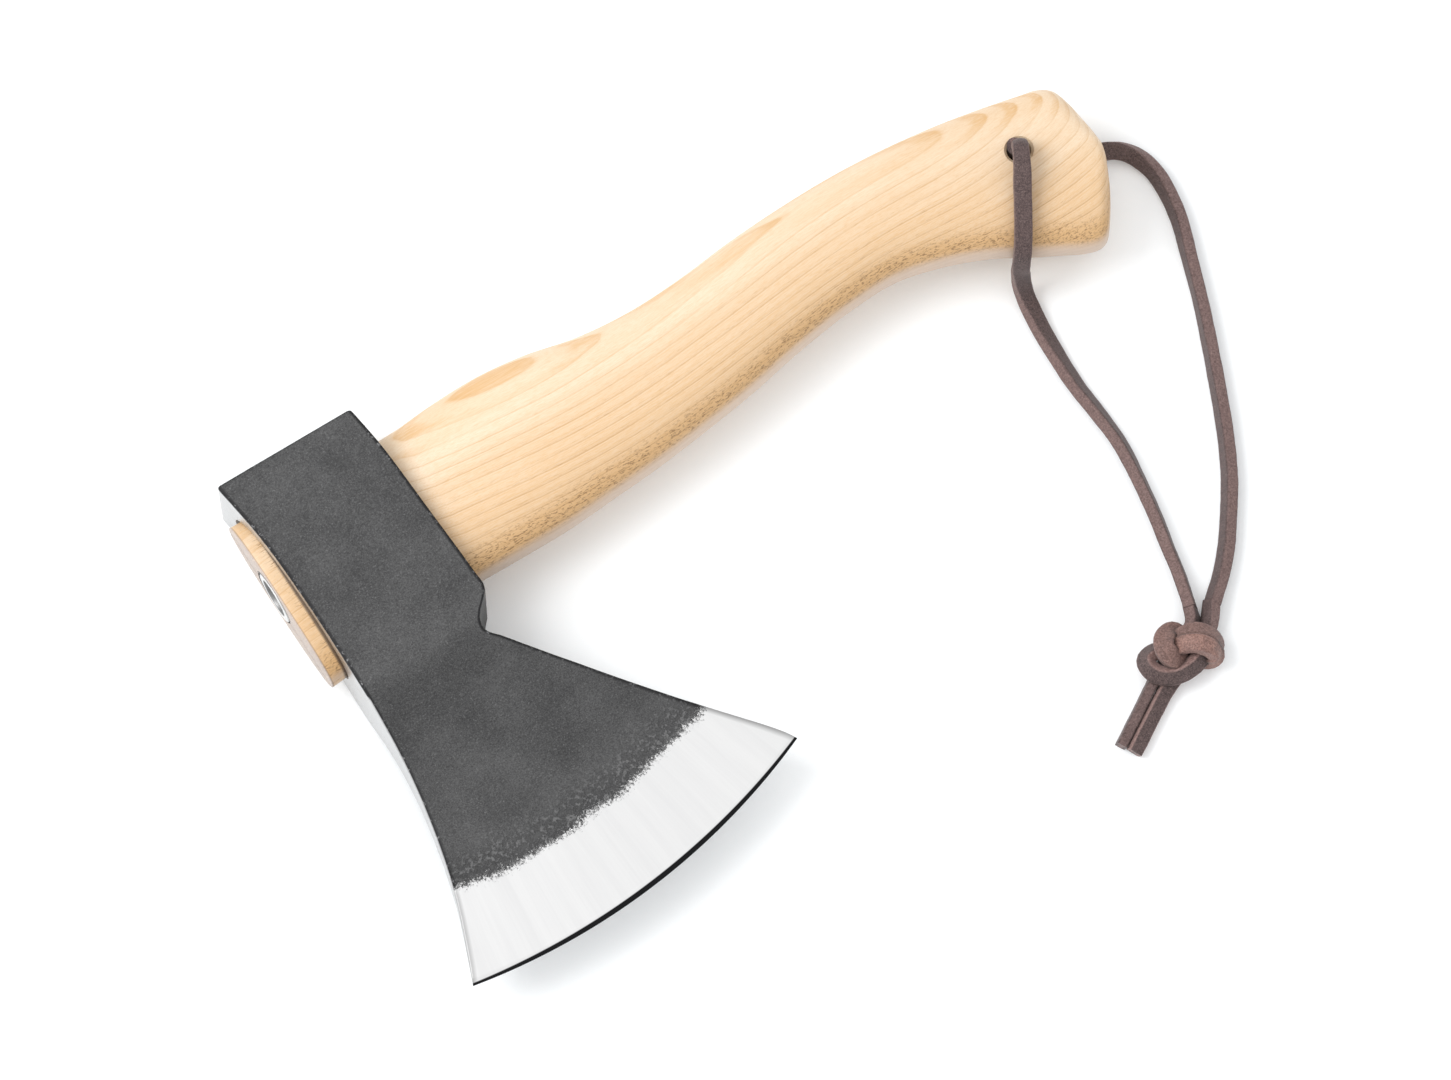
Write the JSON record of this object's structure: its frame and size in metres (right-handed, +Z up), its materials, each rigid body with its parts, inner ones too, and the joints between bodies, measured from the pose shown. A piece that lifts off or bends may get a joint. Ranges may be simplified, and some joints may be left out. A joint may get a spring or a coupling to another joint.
{
  "type": "carving hatchet",
  "caption": "Bearded carving hatchet with a forged head wedged on a short curved wooden handle, lying on its cheek with a knotted leather lanyard through the butt.",
  "frame": {"origin": "under the middle of the hatchet's box as it lies on its cheek, without the lace, on the surface it lies on", "axes": "+X along the handle from the eye end of the head to the butt, +Y towards the poll, +Z up, square to the cheeks"},
  "size_m": [0.241, 0.1608, 0.0309],
  "materials": {
    "forged_steel": "dark forge scale with a bright ground bevel",
    "handle_wood": "pale ring-porous hardwood, oiled, satin",
    "wedge_wood": "sawn end grain",
    "ring_steel": "bright turned steel",
    "leather": "dark brown suede-like lace"
  },
  "bodies": {
    "hatchet": {"axe_head": "forged_steel", "handle": "handle_wood", "wooden_wedge": "wedge_wood", "ring_wedge": "ring_steel"},
    "lanyard": {"lace_in_hole": "leather", "lace_near_leg": "leather", "lace_far_leg": "leather", "lace_knot": "leather", "lace_tail_a": "leather", "lace_tail_b": "leather"}
  },
  "joints": [
    {"name": "lanyard_swing", "type": "hinge", "parent": "hatchet", "child": "lanyard", "pos_m": [0.0968, 0.0393, 0.014], "axis": [0, 0, 1], "range_deg": [-12, 12]}
  ]
}
